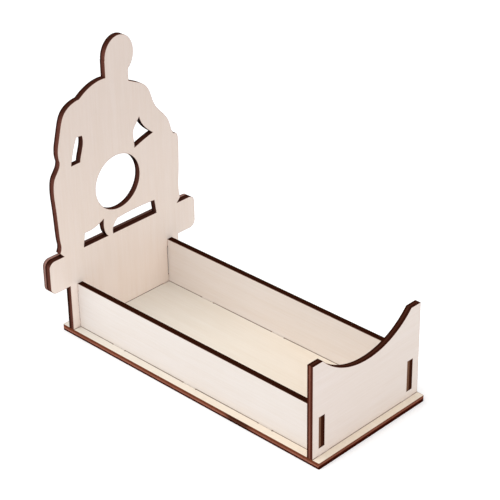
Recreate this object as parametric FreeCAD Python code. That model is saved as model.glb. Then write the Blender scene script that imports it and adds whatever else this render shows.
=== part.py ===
import FreeCAD, Part
import os

# Wine holder of laser-cut plywood: a low tray on a base plate, closed at +X by
# a panel with a round rest in its top edge and at -X by a tall panel cut as a
# figure seated on a bench, with a round hole in its middle. The boards are held
# by tabs glued into slots. Millimetres, +Z up, X along the tray, and the origin
# is at the middle of the underside.

V = FreeCAD.Vector
os.makedirs("parts", exist_ok=True)

# Driving dimensions
ply = 4.0
slot_clearance = 0.1

base_length = 214.6
base_width = 91.6
base_corner_r = 0.9

wall_height = 30.9
wall_margin = 5.7
wall_tab_pitch = 61.4
wall_tab_count = 3
base_tab_width = 10.5
end_tab_bottom = 5.2
end_tab_top_drop = 5.4
end_tab_recess = 0.3
end_slot_inner_gap = 0.4

cradle_margin = 5.2
cradle_height = 61.0
cradle_edge_step = 0.2
rest_r = 50.6
rest_depth = 16.5

figure_margin = 6.2
figure_slot_gap = 0.4
bench_overhang = 15.1
bench_bottom = 31.2
bench_height = 22.3
bench_corner_r = 4.5
bench_strip_thickness = 2.2

# The figure's own middle line lies a little beside the board's
figure_y = 0.2
neck_hole_r = 18.0
neck_hole_y = -3.1
neck_hole_rise = 33.7

head_half_width = 11.4
head_half_height = 13.0
head_y = 3.2
head_rise = 115.0
neck_root = 2.5
neck_left_y = -8.4
neck_right_y = 9.8

# The figure's edge as points of y from its middle line and height above the
# seat. Each list is one smooth stretch, and the stretches meet in corners.
left_shin = [(-49.2, 0), (-52.0, 3.1)]
left_leg = [(-52.0, 3.1), (-51.2, 4.9), (-50.8, 7.4), (-51.2, 10.2), (-51.7, 15.2),
            (-52.7, 33.2), (-53.3, 47.7), (-51.8, 53.8), (-48.7, 58.3), (-47.4, 62.7)]
left_arm = [(-47.4, 62.7), (-47.9, 71.8), (-46.2, 78.8), (-44.6, 85.2),
            (-41.4, 92.2), (-35.4, 96.3), (-29.4, 97.5)]
left_shoulder = [(-29.4, 97.5), (-24.3, 100.8), (-17.8, 103.4), (neck_left_y, 104.2)]
collar = [(neck_left_y, 104.2), (neck_right_y, 96.7)]
right_shoulder = [(neck_right_y, 96.7), (17.4, 93.0), (23.2, 89.0), (26.6, 83.4),
                  (28.4, 77.8), (31.5, 71.8), (38.3, 64.0), (42.2, 56.1),
                  (43.2, 52.4), (45.2, 49.5)]
right_leg = [(45.2, 49.5), (47.4, 48.4), (48.4, 45.7), (48.6, 39.2), (48.1, 23.2),
             (47.6, 7.4), (48.5, 3.1)]
right_shin = [(48.5, 3.1), (45.7, 0)]
seat_line = [(45.7, 0), (-49.2, 0)]
figure_outline = [left_shin, left_leg, left_arm, left_shoulder, collar,
                  right_shoulder, right_leg, right_shin, seat_line]

# Openings through the figure, each a closed run of such stretches
arm_slit = [
    [(-38.6, 57.2), (-31.8, 57.4)],
    [(-31.8, 57.4), (-30.1, 63.7), (-28.7, 70.7), (-29.2, 73.7)],
    [(-29.2, 73.7), (-33.4, 74.2)],
    [(-33.4, 74.2), (-36.2, 67.2), (-38.6, 57.2)],
]
arm_gap = [
    [(12.0, 51.4), (20.5, 54.3), (27.3, 56.2)],
    [(27.3, 56.2), (22.4, 60.5), (18.8, 65.1), (16.8, 70.2)],
    [(16.8, 70.2), (13.8, 66.5), (11.4, 62.4), (11.4, 58.0), (12.0, 51.4)],
]
left_leg_gap = [
    [(-33.1, 0), (-13.5, 0)],
    [(-13.5, 0), (-15.7, 3.6), (-16.5, 7.6), (-16.2, 12.7)],
    [(-16.2, 12.7), (-20.5, 10.8), (-25.5, 9.5), (-31.8, 9.4)],
    [(-31.8, 9.4), (-33.1, 0)],
]
right_leg_gap = [
    [(-9.0, 0), (27.5, 0)],
    [(27.5, 0), (26.2, 9.4)],
    [(26.2, 9.4), (11.0, 10.0), (-4.6, 9.2)],
    [(-4.6, 9.2), (-7.7, 6.4), (-9.1, 3.1), (-9.0, 0)],
]
figure_openings = [arm_slit, arm_gap, left_leg_gap, right_leg_gap]

# Planes and lines the boards stand on and between
floor_z = ply
bench_z = floor_z + bench_bottom
seat_z = bench_z + bench_height
figure_x = -base_length / 2 + figure_margin
cradle_x = base_length / 2 - cradle_margin - ply
wall_start_x = figure_x + ply
wall_top_z = floor_z + wall_height
wall_outer_y = base_width / 2 - wall_margin
wall_inner_y = wall_outer_y - ply
end_tab_z = floor_z + end_tab_bottom
end_tab_top_z = wall_top_z - end_tab_top_drop
foot_ys = [-wall_inner_y, wall_inner_y]
wall_tab_xs = [(i - (wall_tab_count - 1) / 2) * wall_tab_pitch for i in range(wall_tab_count)]
figure_half_width = base_width / 2
cradle_half_width = figure_half_width - cradle_edge_step
bench_half_width = figure_half_width + bench_overhang


def box(x0, x1, y0, y1, z0, z1):
    """Return the box between two corners given as ranges."""
    return Part.makeBox(x1 - x0, y1 - y0, z1 - z0, V(x0, y0, z0))


def mirrored_range(side, inner, outer):
    """Return the y range from inner to outer on the side -1 or 1."""
    return sorted([side * inner, side * outer])


def rounded(solid, axis, radius):
    """Return the box with its four edges along the axis rounded."""
    edges = [e for e in solid.Edges if abs(e.tangentAt(e.FirstParameter).dot(axis)) > 0.5]
    return solid.makeFillet(radius, edges)


def edge_through(x, points):
    """Return the edge in the plane x through points above the seat, smooth if over two."""
    corners = [V(x, figure_y + y, seat_z + rise) for y, rise in points]
    if len(corners) == 2:
        return Part.makeLine(*corners)
    curve = Part.BSplineCurve()
    curve.interpolate(corners)
    return curve.toShape()


def board(x, outline):
    """Return the plywood board from the plane x whose outline is a run of stretches."""
    wire = Part.Wire([edge_through(x, stretch) for stretch in outline])
    return Part.Face(wire).extrude(V(ply, 0, 0))


def wall_tab_slots():
    """Return the slots in the base plate for both walls' tabs."""
    half = base_tab_width / 2 + slot_clearance
    slots = []
    for side in (-1, 1):
        y0, y1 = mirrored_range(side, wall_inner_y - slot_clearance, wall_outer_y + slot_clearance)
        slots += [box(x - half, x + half, y0, y1, 0, floor_z) for x in wall_tab_xs]
    return slots


def foot_slots(x, front_gap):
    """Return the slots in the base plate for the two feet of an end panel."""
    half = base_tab_width / 2 + slot_clearance
    x0 = x - slot_clearance
    x1 = x + ply + front_gap
    return [box(x0, x1, y - half, y + half, 0, floor_z) for y in foot_ys]


def panel_feet(x):
    """Return the two tabs by which an end panel stands in the base plate."""
    half = base_tab_width / 2
    return [box(x, x + ply, y - half, y + half, 0, floor_z) for y in foot_ys]


def wall_end_slots(x):
    """Return the slots in an end panel for the walls' end tabs."""
    z0 = end_tab_z - slot_clearance
    z1 = end_tab_top_z + slot_clearance
    slots = []
    for side in (-1, 1):
        y0, y1 = mirrored_range(side, wall_inner_y - end_slot_inner_gap, wall_outer_y + slot_clearance)
        slots.append(box(x, x + ply, y0, y1, z0, z1))
    return slots


def base_plate():
    """Return the base plate with its rounded corners and all its slots."""
    half_length = base_length / 2
    half_width = base_width / 2
    plate = box(-half_length, half_length, -half_width, half_width, 0, ply)
    plate = rounded(plate, V(0, 0, 1), base_corner_r)
    slots = wall_tab_slots()
    slots += foot_slots(figure_x, figure_slot_gap)
    slots += foot_slots(cradle_x, slot_clearance)
    return plate.cut(slots)


def side_wall(side):
    """Return a long wall on the side -1 or 1, with its base and end tabs."""
    y0, y1 = mirrored_range(side, wall_inner_y, wall_outer_y)
    half_tab = base_tab_width / 2
    reach = ply - end_tab_recess
    wall = box(wall_start_x, cradle_x, y0, y1, floor_z, wall_top_z)
    tabs = [box(x - half_tab, x + half_tab, y0, y1, 0, floor_z) for x in wall_tab_xs]
    tabs.append(box(wall_start_x - reach, cradle_x + reach, y0, y1, end_tab_z, end_tab_top_z))
    return wall.fuse(tabs).removeSplitter()


def cradle_panel():
    """Return the end panel with the round rest in its top edge."""
    top_z = floor_z + cradle_height
    x = cradle_x
    panel = box(x, x + ply, -cradle_half_width, cradle_half_width, floor_z, top_z)
    panel = panel.fuse(panel_feet(x)).removeSplitter()
    centre = V(x, 0, top_z - rest_depth + rest_r)
    rest = Part.makeCylinder(rest_r, ply, centre, V(1, 0, 0))
    return panel.cut([rest] + wall_end_slots(x))


def bench_bar(x, thickness):
    """Return the bench as a bar with rounded ends, from the plane x forward."""
    bar = box(x, x + thickness, -bench_half_width, bench_half_width, bench_z, seat_z)
    return rounded(bar, V(1, 0, 0), bench_corner_r)


def figure_head():
    """Return the plain oval head and the neck below it."""
    x = figure_x
    centre = V(x, figure_y + head_y, seat_z + head_rise)
    tall = centre + V(0, 0, head_half_height)
    wide = centre + V(0, head_half_width, 0)
    oval = Part.Wire([Part.Ellipse(tall, wide, centre).toShape()])
    head = Part.Face(oval).extrude(V(ply, 0, 0))
    root_z = seat_z + collar[-1][1] - neck_root
    neck = box(x, x + ply, figure_y + neck_left_y, figure_y + neck_right_y, root_z, centre.z)
    return head.fuse(neck)


def figure_panel():
    """Return the end panel cut as a seated figure, with all its openings."""
    x = figure_x
    support = box(x, x + ply, -figure_half_width, figure_half_width, floor_z, seat_z - bench_corner_r)
    pieces = [bench_bar(x, ply), board(x, figure_outline), figure_head()] + panel_feet(x)
    panel = support.fuse(pieces).removeSplitter()
    holes = [board(x, opening) for opening in figure_openings]
    centre = V(x, figure_y + neck_hole_y, seat_z + neck_hole_rise)
    holes.append(Part.makeCylinder(neck_hole_r, ply, centre, V(1, 0, 0)))
    return panel.cut(holes + wall_end_slots(x))


parts = {
    "base_plate": base_plate(),
    "near_wall": side_wall(-1),
    "far_wall": side_wall(1),
    "cradle_panel": cradle_panel(),
    "figure_panel": figure_panel(),
    "bench_strip": bench_bar(figure_x - bench_strip_thickness, bench_strip_thickness),
}
for name, shape in parts.items():
    shape.exportStep("parts/" + name + ".step")
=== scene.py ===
from math import cos, radians, sin

import bmesh
import bpy
from mathutils import Matrix, Vector


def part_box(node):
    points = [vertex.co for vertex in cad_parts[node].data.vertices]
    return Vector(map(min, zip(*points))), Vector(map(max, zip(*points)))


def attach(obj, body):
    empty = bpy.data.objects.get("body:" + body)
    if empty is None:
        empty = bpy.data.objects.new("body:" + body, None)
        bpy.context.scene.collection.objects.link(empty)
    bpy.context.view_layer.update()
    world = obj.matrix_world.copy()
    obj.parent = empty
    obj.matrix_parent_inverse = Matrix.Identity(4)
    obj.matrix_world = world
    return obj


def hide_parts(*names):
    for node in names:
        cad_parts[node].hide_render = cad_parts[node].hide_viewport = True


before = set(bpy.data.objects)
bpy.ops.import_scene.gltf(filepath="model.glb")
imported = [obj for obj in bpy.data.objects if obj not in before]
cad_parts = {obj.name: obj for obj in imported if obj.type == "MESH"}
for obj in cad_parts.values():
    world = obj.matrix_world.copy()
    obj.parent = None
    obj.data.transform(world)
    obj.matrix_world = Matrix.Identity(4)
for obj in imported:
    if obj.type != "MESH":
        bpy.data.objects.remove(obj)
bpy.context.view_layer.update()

# Sizes in metres. The boards take theirs from the frame.
MM = 0.001
X, Y, Z = range(3)

# Camera, fitted to the photograph's view
VIEW_AZIMUTH = radians(44.297)
VIEW_ELEVATION = radians(29.426)
VIEW_ROLL = radians(-0.839)
VIEW_DISTANCE = 0.9785
VIEW_TARGET = Vector((0.02082, -0.00890, 0.09058))
LENS_MM = 124.069

# Strength of the even sky on the object, where 1 is the white that the camera sees
SKY = 0.72
# Soft lamps as name, place, side and power, and the point they are aimed at
LAMPS = (
    ("top light", Vector((-0.3, -0.9, 1.8)), 1.6, 22.0),
    ("side light", Vector((1.6, 0.2, 0.9)), 1.2, 6.0),
)
LAMP_AIM = Vector((0, 0, 0.05))
# Half the floor's side, and its glow to the camera alone, near the object and far off
# where no lamp reaches, with the distances from the object between which it changes
FLOOR_REACH = 6.0
FLOOR_GLOW = (0.25, 0.5)
FLOOR_FADE = (0.1, 2.5)

# A board's cut corners are broken by a fine rim. Bands of scorch lie beside it on the
# faces, and the levels are the scorch on the rim and past each band.
RIM = 0.1 * MM
RIM_SEGMENTS = 2
SCORCH_WIDTHS = (0.12 * MM, 0.4 * MM)
SCORCH_LEVELS = (1.0, 0.5, 0.0)
# What counts as one point, as one smooth run, as a corner and as a board's flat face
MERGE = 0.002 * MM
FLAT_ANGLE = radians(0.4)
CORNER_ANGLE = radians(25)
FLATNESS = 0.999

# Colours, sRGB 0 to 255
WHITE = (255, 255, 255)
FLOOR_WHITE = (236, 236, 236)
# Soot, which also serves as painted shade on the bench strip and under the bench
SOOT_AND_SHADE = (42, 16, 7)
# Coal black, for burnt spots and also for painted shade in openings
COAL_AND_SHADE = (14, 5, 3)
# Stain and painted shade beside the boards' feet
SEAM = (62, 36, 24)
STAIN = (202, 142, 102)
# Factors on a board's wood for the darkest and the lightest of its grain
DEEP = (0.982, 0.972, 0.959)
LIGHT = (1.006, 1.009, 1.013)

# Each board has its wood at the two ends of its grain, then its cut edge from the side at
# the low end of the thickness to the one at the high end, the edge's core, and between
# which depths of -1 to 1 the edge turns from one to the other. On the figure panel the two
# wood colours are painted light and shade: lighter at the bottom, darker towards the top.
# Soot darkens what faces up, as far from the middle as it reaches; on the bench strip that
# darkening between the legs is painted shade. Painted shade, with some heavier burn, darkens
# the low side of the cut edge under the bench.
WALL = {
    "ply": Y, "grain": X, "wood_and_light": ((236, 228, 222), (236, 228, 222)),
    "low": (116, 83, 65), "high": (57, 25, 14), "core": (62, 30, 18),
    "turn": (-0.85, -0.35), "soot_and_shade": 0.95, "reach": 1.0, "shade": 0.0,
}
BOARDS = {
    "base_plate": {
        "ply": Z, "grain": X, "wood_and_light": ((222, 216, 206), (234, 222, 205)),
        "low": (58, 14, 4), "high": (120, 64, 42), "core": (162, 104, 86),
        "turn": (-0.7, 0.7), "soot_and_shade": 0.95, "reach": 1.0, "shade": 0.0,
    },
    "near_wall": WALL,
    "far_wall": WALL,
    "cradle_panel": {
        "ply": X, "grain": Y, "wood_and_light": ((232, 220, 213), (230, 218, 210)),
        "low": (70, 30, 20), "high": (80, 38, 28), "core": (134, 84, 70),
        "turn": (-0.7, 0.7), "soot_and_shade": 0.86, "reach": 1.0, "shade": 0.0,
    },
    # The figure panel's two wood colours are painted light and shade: lighter at the bottom,
    # darker towards the top
    "figure_panel": {
        "ply": X, "grain": Z, "wood_and_light": ((244, 230, 220), (224, 209, 200)),
        "low": (54, 26, 20), "high": (104, 64, 54), "core": (96, 55, 46),
        "turn": (-0.7, 0.7), "soot_and_shade": 0.75, "reach": 1.0, "shade": 0.75,
    },
    # On the bench strip, soot darkens the top only between the legs, and that darkening is
    # painted shade
    "bench_strip": {
        "ply": X, "grain": Y, "wood_and_light": ((232, 217, 208), (232, 217, 208)),
        "low": (74, 46, 38), "high": (150, 112, 102), "core": (162, 126, 116),
        "turn": (-0.7, 0.7), "soot_and_shade": 0.7, "reach": 47 * MM, "shade": 0.0,
    },
}
STANDING = ("near_wall", "far_wall", "cradle_panel", "figure_panel")

# Patterns of the veneer as noise: scale, detail and roughness, and the weight of each in
# its shade. All but the slow tone are drawn out along the grain.
TONE = (14.0, 3.0, 0.5)
FIBRE = (900.0, 4.0, 0.6)
BAND = (210.0, 3.0, 0.55)
FLECK = (2600.0, 1.0, 0.5)
GRAIN_SQUEEZE = 0.045
TONE_WEIGHT = 0.5
FIBRE_WEIGHT = 0.7
BAND_WEIGHT = 0.5
FLECK_WEIGHT = 0.25
SHADE_SPAN = 0.35
FLECK_SPAN = (0.68, 0.80)

# Between which parts of its normal a surface comes to count as turned to +X, up, down or
# to the near side, and as a board's face instead of its cut edge
TURNED = (0.3, 0.9)
UPWARD = (0.2, 0.8)
DOWNWARD = (-0.5, -0.05)
NEARWARD = (-0.9, -0.3)
FACING = (0.95, 0.995)

# Patterns of the cut edge. The streaks are drawn out from one face to the other.
SMOKE = (420.0, 4.0, 0.65)
BLOTCH = (55.0, 2.0, 0.5)
STREAK = (2200.0, 3.0, 0.6)
STREAK_SQUEEZE = 0.1
STREAK_SPAN = (0.45, 0.8)
STREAK_SOOT = 0.4
# The cut edge's core, in depths of -1 to 1: its middle, and between which distances from
# there it fades. Then its strength without streaks, and how much they add.
CORE_DEPTH = -0.06
CORE_FADE = (0.1, 0.45)
CORE_BASE = 0.6
CORE_STREAKS = 0.7
# How far smoke moves the layers, and on edges that face +X, how far the layers shift and
# how much of the core is lost
SMOKE_SHIFT = 0.3
TURNED_SHIFT = 0.5
TURNED_LOSS = 0.4
# Over what length soot and painted shade end, and between which depths the painted shade under
# the bench fades
SOOT_AND_SHADE_FADE = 2 * MM
SHADE_FADE = (-0.4, 0.5)
# How dark painted shade makes an opening's cut edge, where it faces down and where it stands
# upright
OPENING_SHADE = (0.95, 0.35)
# Between which levels of scorch the veneer is stained and charred, and how strong the
# stain is
STAINED = (0.0, 0.9)
STAIN_STRENGTH = 0.45
CHARRED = (0.5, 1.0)

# Roughness of veneer, its spread with the fibres, and roughness of the burnt edge
VENEER_ROUGHNESS = 0.58
FIBRE_ROUGHNESS = 0.12
CHAR_ROUGHNESS = 0.9
# Relief of the fibres and the streaks, as strength and height
FIBRE_RELIEF = (0.25, 0.06 * MM)
STREAK_RELIEF = (0.5, 0.1 * MM)

# The walls' tabs in the base plate: the distance between them and half their width
TAB_PITCH = 61.4 * MM
TAB_HALF = 5.25 * MM
# The burnt spots at those tabs' ends: their reach, and their strength at each end
SPOT_REACH = 0.3 * MM
SPOT_STRENGTHS = (0.4, 1.0)
# Share of the scorch that is missing beside the slots of the walls' tabs, between which
# distances from the wall it comes back, and how short of the tab's end
PALE_SHARE = 0.75
PALE_FADE = (0.6 * MM, 1.0 * MM)
PALE_END = 0.5 * MM
# Width of the stain and painted shade beside the boards' feet, in the tray's middle and this far
# from it
SEAM_WIDTHS = (0.8 * MM, 0.5 * MM)
SEAM_TAPER = 80 * MM
# A dark patch in the base plate's near edge: its middle, between which distances from
# there it fades, and its strength
PATCH_MIDDLE = 45 * MM
PATCH_FADE = (5.6 * MM, 12.8 * MM)
PATCH_STRENGTH = 0.75


def linear(rgb):
    """Return an sRGB colour of 0 to 255 as linear RGBA."""
    channels = [c / 255 for c in rgb]
    return [c / 12.92 if c <= 0.04045 else ((c + 0.055) / 1.055) ** 2.4 for c in channels] + [1.0]


def scaled(rgb, factors):
    """Return a colour with each channel multiplied by its factor."""
    return [min(255, c * k) for c, k in zip(rgb, factors)]


def middle_and_half(box, axis):
    """Return the middle of a box along an axis, and half its length there."""
    low, high = box
    return (low[axis] + high[axis]) / 2, (high[axis] - low[axis]) / 2


def beyond(value, box, axis):
    """Return how far a value lies outside a box along an axis, negative inside it."""
    middle, half = middle_and_half(box, axis)
    return abs(value - middle) - half


class Socket:
    """A shader socket that can stand in a sum, so that maths reads as maths."""

    def __init__(self, paint, socket):
        self.paint = paint
        self.socket = socket

    def __add__(self, other):
        return self.paint.math("ADD", self, other)

    def __radd__(self, other):
        return self.paint.math("ADD", other, self)

    def __sub__(self, other):
        return self.paint.math("SUBTRACT", self, other)

    def __rsub__(self, other):
        return self.paint.math("SUBTRACT", other, self)

    def __mul__(self, other):
        return self.paint.math("MULTIPLY", self, other)

    def __rmul__(self, other):
        return self.paint.math("MULTIPLY", other, self)

    def __truediv__(self, other):
        return self.paint.math("DIVIDE", self, other)

    def __abs__(self):
        return self.paint.math("ABSOLUTE", self)


class Paint:
    """The node tree of a material or world, with one method that adds a node of any type."""

    def __init__(self, owner):
        owner.use_nodes = True
        self.tree = owner.node_tree
        self.tree.nodes.clear()

    def add(self, kind, settings, *values, out=0, **named):
        """Add a node with its settings, fill its sockets by place or name, return one output."""
        node = self.tree.nodes.new(kind)
        for key, value in settings.items():
            setattr(node, key, value)
        sockets = list(zip(node.inputs, values))
        sockets += [(node.inputs[key.replace("_", " ")], value) for key, value in named.items()]
        for socket, value in sockets:
            self.fill(socket, value)
        return Socket(self, node.outputs[out])

    def fill(self, socket, value):
        """Link a socket, or set it to a constant."""
        if isinstance(value, Socket):
            self.tree.links.new(value.socket, socket)
        else:
            socket.default_value = value

    def math(self, operation, *values):
        """Return the outcome of a Math node's operation."""
        return self.add("ShaderNodeMath", {"operation": operation}, *values)

    def mix(self, factor, first, second):
        """Return the colour between two colours."""
        node = self.tree.nodes.new("ShaderNodeMix")
        node.data_type = "RGBA"
        # The node's sockets for numbers, vectors and colours share their names, so those
        # for colours are taken by place
        for place, value in ((0, factor), (6, first), (7, second)):
            self.fill(node.inputs[place], value)
        return Socket(self, node.outputs[2])

    def surface(self, shader, output="ShaderNodeOutputMaterial"):
        """Give the material or world this shader."""
        node = self.tree.nodes.new(output)
        self.tree.links.new(shader.socket, node.inputs["Surface"])

    def ramp(self, value, low, high, first=0.0, last=1.0):
        """Return first below low and last above high, and a smooth step between them."""
        settings = {"interpolation_type": "SMOOTHSTEP"}
        return self.add("ShaderNodeMapRange", settings, value, low, high, first, last)

    def noise(self, place, scale, detail, roughness):
        """Return noise of 0 to 1 at a place."""
        return self.add(
            "ShaderNodeTexNoise", {},
            Vector=place, Scale=scale, Detail=detail, Roughness=roughness,
        )

    def bump(self, relief, height):
        """Return the normal of a relief of some strength and height."""
        strength, distance = relief
        return self.add("ShaderNodeBump", {}, Strength=strength, Distance=distance, Height=height)

    def stretch(self, place, axis, squeeze):
        """Return a place squeezed along an axis, so that a pattern on it is drawn out there."""
        scale = [squeeze if a == axis else 1.0 for a in (X, Y, Z)]
        return self.add("ShaderNodeMapping", {}, Vector=place, Scale=scale)

    def attribute(self, name):
        """Return a number that the mesh holds under a name."""
        return self.add("ShaderNodeAttribute", {"attribute_name": name}, out="Fac")

    def split(self, vector):
        """Return the three parts of a vector."""
        return [self.add("ShaderNodeSeparateXYZ", {}, vector, out=axis) for axis in (X, Y, Z)]

    def larger(self, first, second):
        """Return the larger of two values."""
        return self.math("MAXIMUM", first, second)

    def around(self, spot, box):
        """Return how far a spot lies outside a box seen from above, negative inside it."""
        return self.larger(*(beyond(spot[axis], box, axis) for axis in (X, Y)))


def set_camera():
    """Place the camera as in the photograph."""
    away = Vector((
        sin(VIEW_AZIMUTH) * cos(VIEW_ELEVATION),
        -cos(VIEW_AZIMUTH) * cos(VIEW_ELEVATION),
        sin(VIEW_ELEVATION),
    ))
    level = Vector((0, 0, 1)).cross(away).normalized()
    turn = Matrix.Rotation(VIEW_ROLL, 3, away)
    right = turn @ level
    up = away.cross(right)
    camera = bpy.data.objects.new("camera", bpy.data.cameras.new("camera"))
    camera.data.lens = LENS_MM
    camera.data.clip_start = 0.01
    camera.matrix_world = Matrix((right, up, away)).transposed().to_4x4()
    camera.location = VIEW_TARGET + away * VIEW_DISTANCE
    bpy.context.scene.collection.objects.link(camera)
    bpy.context.scene.camera = camera


def veneer_colour(paint, place, spot, box, board):
    """Return the pale face veneer: slow changes of tone, fine fibres and a few faint flecks, over
    a drift between two wood colours that on the figure panel is painted light and shade.
    """
    low, high = box
    grain = board["grain"]
    drawn = paint.stretch(place, grain, GRAIN_SQUEEZE)
    tone = paint.noise(place, *TONE)
    fibre = paint.noise(drawn, *FIBRE)
    band = paint.noise(drawn, *BAND)
    shade = (tone - 0.5) * TONE_WEIGHT + (fibre - 0.5) * FIBRE_WEIGHT + (band - 0.5) * BAND_WEIGHT
    # Drift along the grain between the two wood colours; on the figure panel it is painted light
    # and shade
    drift = paint.ramp(spot[grain], low[grain], high[grain])
    deep, light = [
        paint.mix(drift, *(linear(scaled(wood_and_light, factors)) for wood_and_light in board["wood_and_light"]))
        for factors in (DEEP, LIGHT)
    ]
    veneer = paint.mix(paint.ramp(shade, -SHADE_SPAN, SHADE_SPAN), light, deep)
    fleck = paint.ramp(paint.noise(drawn, *FLECK), *FLECK_SPAN)
    return paint.mix(fleck * FLECK_WEIGHT, veneer, deep), fibre


def char_colour(paint, place, spot, depth, normal, board):
    """Return the burnt cut edge: two skins about a lighter core, sooty where it faces up, with
    painted shade in openings, under the bench and on the bench strip between the legs.
    """
    smoke = paint.noise(place, *SMOKE)
    blotch = paint.noise(place, *BLOTCH)
    streak = paint.noise(paint.stretch(place, board["ply"], STREAK_SQUEEZE), *STREAK)
    turned = paint.ramp(normal[X], *TURNED)
    wavy = depth + (smoke - 0.5) * SMOKE_SHIFT - turned * TURNED_SHIFT
    skin = paint.mix(
        paint.ramp(wavy, *board["turn"]), linear(board["low"]), linear(board["high"]),
    )
    middle = paint.ramp(abs(wavy - CORE_DEPTH), *CORE_FADE, 1.0, 0.0)
    core = middle * (CORE_BASE + streak * CORE_STREAKS)
    core = core * (1 - turned * TURNED_LOSS) * (0.5 + blotch)
    char = paint.mix(core, skin, linear(board["core"]))
    char = paint.mix(paint.ramp(streak, *STREAK_SPAN, 0.0, STREAK_SOOT), char, linear(SOOT_AND_SHADE))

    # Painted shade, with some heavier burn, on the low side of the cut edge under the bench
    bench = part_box("bench_strip")[0][Z]
    under = paint.ramp(spot[Z], bench - SOOT_AND_SHADE_FADE, bench, board["shade"], 0.0)
    char = paint.mix(under * paint.ramp(wavy, *SHADE_FADE, 1.0, 0.0), char, linear(SOOT_AND_SHADE))
    # Upward faces darken with soot; on the bench strip, between the legs, this is painted shade
    up = paint.ramp(normal[Z], *UPWARD)
    reach = board["reach"]
    near = paint.ramp(abs(spot[Y]), reach - SOOT_AND_SHADE_FADE, reach, board["soot_and_shade"], 0.0)
    char = paint.mix(up * near, char, linear(SOOT_AND_SHADE))
    # Cut edges in openings take painted shade, nearly black where they face down
    shade_by_facing = paint.ramp(normal[Z], *DOWNWARD, *OPENING_SHADE)
    opening_shade = paint.attribute("opening") * (1 - up) * shade_by_facing
    return paint.mix(opening_shade, char, linear(COAL_AND_SHADE)), streak


def edge_patch(paint, spot, normal):
    """Return where the base plate's near edge is darker, over a short length."""
    along = paint.ramp(abs(spot[X] - PATCH_MIDDLE), *PATCH_FADE, PATCH_STRENGTH, 0.0)
    return along * paint.ramp(normal[Y], *NEARWARD, 1.0, 0.0)


def seam_stain_and_shade(paint, spot):
    """Return where the base plate darkens beside the boards on it: stain from their burnt feet
    and painted shade of the joints.
    """
    width = paint.ramp(abs(spot[X]), 0.0, SEAM_TAPER, *SEAM_WIDTHS)
    return sum(
        paint.ramp(paint.around(spot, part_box(name)), 0.0, width, 1.0, 0.0)
        for name in STANDING
    )


def from_wall(spot):
    """Return how far a spot lies across from the faces of the nearer wall."""
    return beyond(abs(spot[Y]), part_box("far_wall"), Y)


def from_tab(paint, spot):
    """Return how far a spot lies along the tray from the middle of the nearest base tab."""
    return paint.math("WRAP", spot[X], TAB_PITCH / 2, -TAB_PITCH / 2)


def pale_slots(paint, spot, node):
    """Return where a board is less scorched, beside the slots that hold the walls' tabs."""
    beside = paint.ramp(from_wall(spot), *PALE_FADE, PALE_SHARE, 0.0)
    if node == "figure_panel":
        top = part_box("far_wall")[1][Z]
        return beside * paint.ramp(spot[Z], top, top + MM, 1.0, 0.0)
    along = abs(from_tab(paint, spot))
    return beside * paint.ramp(along, TAB_HALF - PALE_END, TAB_HALF, 1.0, 0.0)


def tab_ends(paint, spot):
    """Return where the base plate is burnt at the ends of the walls' tabs."""
    along = from_tab(paint, spot)
    across = abs(from_wall(spot) - SPOT_REACH)
    end = TAB_HALF + SPOT_REACH
    return sum(
        paint.ramp(
            paint.larger(abs(along - place), across),
            SPOT_REACH, 2 * SPOT_REACH, strength, 0.0,
        )
        for place, strength in zip((-end, end), SPOT_STRENGTHS)
    )


def plywood(node):
    """Return the finish of a board: pale veneer on its faces and a burnt, layered cut edge."""
    board = BOARDS[node]
    ply = board["ply"]
    material = bpy.data.materials.new(node.replace("_", " ") + " plywood")
    paint = Paint(material)
    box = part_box(node)
    middle, half = middle_and_half(box, ply)
    place = paint.add("ShaderNodeTexCoord", {}, out="Object")
    spot = paint.split(place)
    normal = paint.split(paint.add("ShaderNodeNewGeometry", {}, out="Normal"))
    depth = (spot[ply] - middle) / half
    face = paint.ramp(abs(normal[ply]), *FACING)

    veneer, fibre = veneer_colour(paint, place, spot, box, board)
    char, streak = char_colour(paint, place, spot, depth, normal, board)
    scorch = paint.attribute("scorch")
    if node in ("base_plate", "figure_panel"):
        scorched = 1 - pale_slots(paint, spot, node)
        scorch = scorch * scorched
    if node == "base_plate":
        char = paint.mix(edge_patch(paint, spot, normal), char, linear(SOOT_AND_SHADE))
        # Stain from the boards' burnt feet and painted shade of the joints beside them
        veneer = paint.mix(seam_stain_and_shade(paint, spot) * scorched, veneer, linear(SEAM))
        veneer = paint.mix(tab_ends(paint, spot), veneer, linear(COAL_AND_SHADE))
    stained = paint.ramp(scorch, *STAINED, 0.0, STAIN_STRENGTH)
    veneer = paint.mix(stained, veneer, linear(STAIN))
    veneer = paint.mix(paint.ramp(scorch, *CHARRED), veneer, char)
    pale = paint.add(
        "ShaderNodeBsdfPrincipled", {},
        Base_Color=veneer,
        Roughness=VENEER_ROUGHNESS + (fibre - 0.5) * FIBRE_ROUGHNESS,
        Normal=paint.bump(FIBRE_RELIEF, fibre),
    )
    burnt = paint.add(
        "ShaderNodeBsdfPrincipled", {},
        Base_Color=char,
        Roughness=CHAR_ROUGHNESS,
        Specular_IOR_Level=0.0,
        Normal=paint.bump(STREAK_RELIEF, streak),
    )
    paint.surface(paint.add("ShaderNodeMixShader", {}, face, burnt, pale))
    return material


def extent(faces):
    """Return the longest side of the box around some faces."""
    spots = [v.co for f in faces for v in f.verts]
    return max(max(s[a] for s in spots) - min(s[a] for s in spots) for a in (X, Y, Z))


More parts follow.
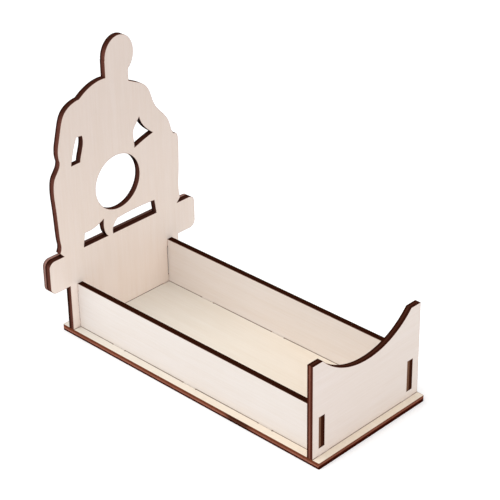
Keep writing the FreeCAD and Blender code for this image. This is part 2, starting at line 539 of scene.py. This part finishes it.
def mark_openings(bm, axis):
    """Note on each vertex whether it lies on the cut edge of an opening."""
    opening = bm.verts.layers.float.new("opening")
    left = {f for f in bm.faces if abs(f.normal[axis]) < FLATNESS}
    rings = []
    while left:
        front = [left.pop()]
        ring = set(front)
        while front:
            near = {f for e in front.pop().edges for f in e.link_faces} & left
            left -= near
            ring |= near
            front += near
        rings.append(ring)
    # The longest ring is the board's own outline
    rings.sort(key=extent)
    for ring in rings[:-1]:
        for vert in {v for f in ring for v in f.verts}:
            vert[opening] = 1.0


def mark_scorch(bm, axis):
    """Ring every flat face with narrow bands, and note how scorched each vertex is."""
    scorch = bm.verts.layers.float.new("scorch")
    flat = [f for f in bm.faces if abs(f.normal[axis]) > FLATNESS]
    for vert in bm.verts:
        vert[scorch] = SCORCH_LEVELS[0]
    for width, level in zip(SCORCH_WIDTHS, SCORCH_LEVELS[1:]):
        bmesh.ops.inset_region(
            bm, faces=flat, thickness=width, use_boundary=True, use_even_offset=True,
        )
        for vert in {v for f in flat for v in f.verts}:
            vert[scorch] = level


def cut_board(node):
    """Replace a board by a copy whose cut corners are broken by a fine rim."""
    bm = bmesh.new()
    bm.from_mesh(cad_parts[node].data)
    bmesh.ops.remove_doubles(bm, verts=bm.verts, dist=MERGE)
    bmesh.ops.dissolve_limit(bm, angle_limit=FLAT_ANGLE, verts=bm.verts, edges=bm.edges)
    shared = [e for e in bm.edges if len(e.link_faces) == 2]
    corners = [e for e in shared if e.calc_face_angle() > CORNER_ANGLE]
    bmesh.ops.bevel(
        bm, geom=corners, offset=RIM, segments=RIM_SEGMENTS,
        profile=0.5, affect="EDGES", material=-1,
    )
    bmesh.ops.remove_doubles(bm, verts=bm.verts, dist=MERGE)
    bmesh.ops.dissolve_degenerate(bm, edges=bm.edges, dist=MERGE)
    mark_openings(bm, BOARDS[node]["ply"])
    mark_scorch(bm, BOARDS[node]["ply"])
    bmesh.ops.triangulate(bm, faces=bm.faces, quad_method="BEAUTY", ngon_method="BEAUTY")
    mesh = bpy.data.meshes.new(node + "_board")
    bm.to_mesh(mesh)
    bm.free()
    mesh.materials.clear()
    mesh.materials.append(plywood(node))
    board = bpy.data.objects.new(node + "_board", mesh)
    bpy.context.scene.collection.objects.link(board)
    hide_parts(node)
    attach(board, "root")


def white_floor():
    """Lay a plain white floor that takes the object's shadow."""
    bm = bmesh.new()
    bmesh.ops.create_grid(bm, x_segments=1, y_segments=1, size=FLOOR_REACH)
    mesh = bpy.data.meshes.new("floor")
    bm.to_mesh(mesh)
    bm.free()
    material = bpy.data.materials.new("white floor")
    paint = Paint(material)
    diffuse = paint.add("ShaderNodeBsdfDiffuse", {}, Color=linear(FLOOR_WHITE))
    spot = paint.split(paint.add("ShaderNodeTexCoord", {}, out="Object"))
    away = paint.around(spot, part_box("base_plate"))
    strength = paint.ramp(away, -RIM, 0.0) * paint.ramp(away, *FLOOR_FADE, *FLOOR_GLOW)
    seen = paint.add("ShaderNodeLightPath", {}, out="Is Camera Ray")
    glow = paint.add("ShaderNodeEmission", {}, Color=linear(WHITE), Strength=seen * strength)
    paint.surface(paint.add("ShaderNodeAddShader", {}, diffuse, glow))
    mesh.materials.append(material)
    floor = bpy.data.objects.new("floor", mesh)
    bpy.context.scene.collection.objects.link(floor)


def soft_light(name, place, side, power):
    """Add a square soft lamp at a place, aimed at the object."""
    light = bpy.data.lights.new(name, "AREA")
    light.shape = "SQUARE"
    light.size = side
    light.energy = power
    lamp = bpy.data.objects.new(name, light)
    lamp.location = place
    lamp.rotation_euler = (LAMP_AIM - place).to_track_quat("-Z", "Y").to_euler()
    bpy.context.scene.collection.objects.link(lamp)


def studio():
    """Light the scene with an even sky and soft lamps."""
    world = bpy.data.worlds.new("studio")
    paint = Paint(world)
    seen = sum(
        paint.add("ShaderNodeLightPath", {}, out=ray)
        for ray in ("Is Camera Ray", "Is Glossy Ray", "Is Transmission Ray")
    )
    strength = paint.ramp(seen, 0.0, 1.0, SKY, 1.0)
    sky = paint.add("ShaderNodeBackground", {}, Color=linear(WHITE), Strength=strength)
    paint.surface(sky, "ShaderNodeOutputWorld")
    bpy.context.scene.world = world
    for lamp in LAMPS:
        soft_light(*lamp)
    bpy.context.scene.view_settings.view_transform = "Standard"


for node in BOARDS:
    cut_board(node)
white_floor()
studio()
set_camera()
